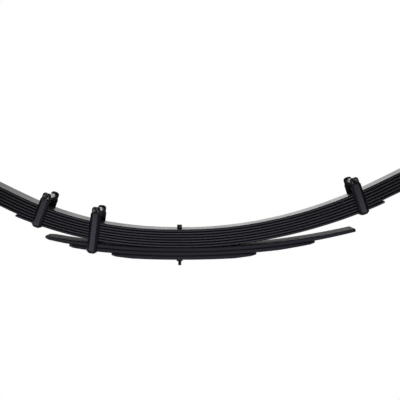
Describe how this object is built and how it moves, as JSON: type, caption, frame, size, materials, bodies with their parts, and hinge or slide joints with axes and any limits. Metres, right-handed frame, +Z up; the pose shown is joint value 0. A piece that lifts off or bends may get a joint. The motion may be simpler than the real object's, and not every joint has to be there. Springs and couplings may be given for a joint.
{
  "type": "leaf spring",
  "caption": "Semi-elliptic vehicle leaf spring: an arched pack of thin leaves with an eye at each end, over flatter thick overload leaves, held by a centre bolt and rebound clips.",
  "frame": {"origin": "on the centre bolt's axis, at the main leaf's top face, where the axle seat or its pad bears", "axes": "+X to the rear eye along the leaves, +Y across the leaves, +Z up towards the eyes"},
  "size_m": [1.3949, 0.1062, 0.3861],
  "materials": {
    "black_paint": "satin black paint on spring steel",
    "black_zinc": "black plated fasteners",
    "rubber": "matt moulded rubber",
    "bare_steel": "turned steel",
    "nylon": "dark nylon"
  },
  "bodies": {
    "spring_centre": {"main_leaf": "black_paint", "wrap_leaf": "black_paint", "leaf_3": "black_paint", "leaf_4": "black_paint", "leaf_5": "black_paint", "leaf_6": "black_paint", "leaf_7": "black_paint", "overload_leaf_1": "black_paint", "overload_leaf_2": "black_paint", "overload_leaf_3": "black_paint", "centre_bolt": "black_zinc", "centre_nut": "black_zinc"},
    "front_overload_stage": {"front_overload_clip_strap": "black_paint", "front_overload_clip_bolt": "black_zinc", "front_overload_clip_nut": "black_zinc", "front_overload_clip_spacer": "black_zinc", "front_overload_clip_rivet": "black_paint", "front_overload_pad_2": "nylon", "front_overload_pad_3": "nylon"},
    "front_main_stage": {"front_main_clip_strap": "black_paint", "front_main_clip_bolt": "black_zinc", "front_main_clip_nut": "black_zinc", "front_main_clip_spacer": "black_zinc", "front_main_clip_rivet": "black_paint", "front_tip_pad_3": "nylon", "front_tip_pad_4": "nylon", "front_tip_pad_5": "nylon", "front_tip_pad_6": "nylon", "front_tip_pad_7": "nylon", "front_bush_left": "rubber", "front_bush_right": "rubber"},
    "front_eye": {"front_sleeve": "bare_steel"},
    "rear_overload_stage": {"rear_overload_pad_2": "nylon", "rear_overload_pad_3": "nylon"},
    "rear_main_stage": {"rear_main_clip_strap": "black_paint", "rear_main_clip_bolt": "black_zinc", "rear_main_clip_nut": "black_zinc", "rear_main_clip_spacer": "black_zinc", "rear_main_clip_rivet": "black_paint", "rear_tip_pad_3": "nylon", "rear_tip_pad_4": "nylon", "rear_tip_pad_5": "nylon", "rear_tip_pad_6": "nylon", "rear_tip_pad_7": "nylon", "rear_bush_left": "rubber", "rear_bush_right": "rubber"},
    "rear_eye": {"rear_sleeve": "bare_steel"}
  },
  "joints": [
    {"name": "front_overload_flex", "type": "hinge", "parent": "spring_centre", "child": "front_overload_stage", "pos_m": [-0.12, 0, -0.035], "axis": [0, -1, 0], "range_deg": [0, 5], "stiffness_Nm_per_rad": 14300, "deforming": ["main_leaf", "wrap_leaf", "leaf_3", "leaf_4", "leaf_5", "leaf_6", "leaf_7", "overload_leaf_1", "overload_leaf_2", "overload_leaf_3"]},
    {"name": "front_main_flex", "type": "hinge", "parent": "front_overload_stage", "child": "front_main_stage", "pos_m": [-0.295, 0, 0.013], "axis": [0, -1, 0], "range_deg": [0, 9], "stiffness_Nm_per_rad": 1700, "deforming": ["main_leaf", "wrap_leaf", "leaf_3", "leaf_4", "leaf_5", "leaf_6", "leaf_7"]},
    {"name": "front_eye_turn", "type": "hinge", "parent": "front_main_stage", "child": "front_eye", "pos_m": [-0.59653, 0, 0.19526], "axis": [0, 1, 0], "range_deg": [-20, 20], "stiffness_Nm_per_rad": 60},
    {"name": "rear_overload_flex", "type": "hinge", "parent": "spring_centre", "child": "rear_overload_stage", "pos_m": [0.12, 0, -0.035], "axis": [0, 1, 0], "range_deg": [0, 4], "stiffness_Nm_per_rad": 18800, "deforming": ["main_leaf", "wrap_leaf", "leaf_3", "leaf_4", "leaf_5", "leaf_6", "leaf_7", "overload_leaf_1", "overload_leaf_2", "overload_leaf_3"]},
    {"name": "rear_main_flex", "type": "hinge", "parent": "rear_overload_stage", "child": "rear_main_stage", "pos_m": [0.315, 0, 0.018], "axis": [0, 1, 0], "range_deg": [0, 6.7], "stiffness_Nm_per_rad": 2500, "deforming": ["main_leaf", "wrap_leaf", "leaf_3", "leaf_4", "leaf_5", "leaf_6", "leaf_7"]},
    {"name": "rear_eye_turn", "type": "hinge", "parent": "rear_main_stage", "child": "rear_eye", "pos_m": [0.72578, 0, 0.24587], "axis": [0, 1, 0], "range_deg": [-20, 20], "stiffness_Nm_per_rad": 60}
  ],
  "couplings": [
    {"joint": "rear_overload_flex", "follows": "front_overload_flex", "ratio": 0.79},
    {"joint": "rear_main_flex", "follows": "front_main_flex", "ratio": 0.74}
  ]
}
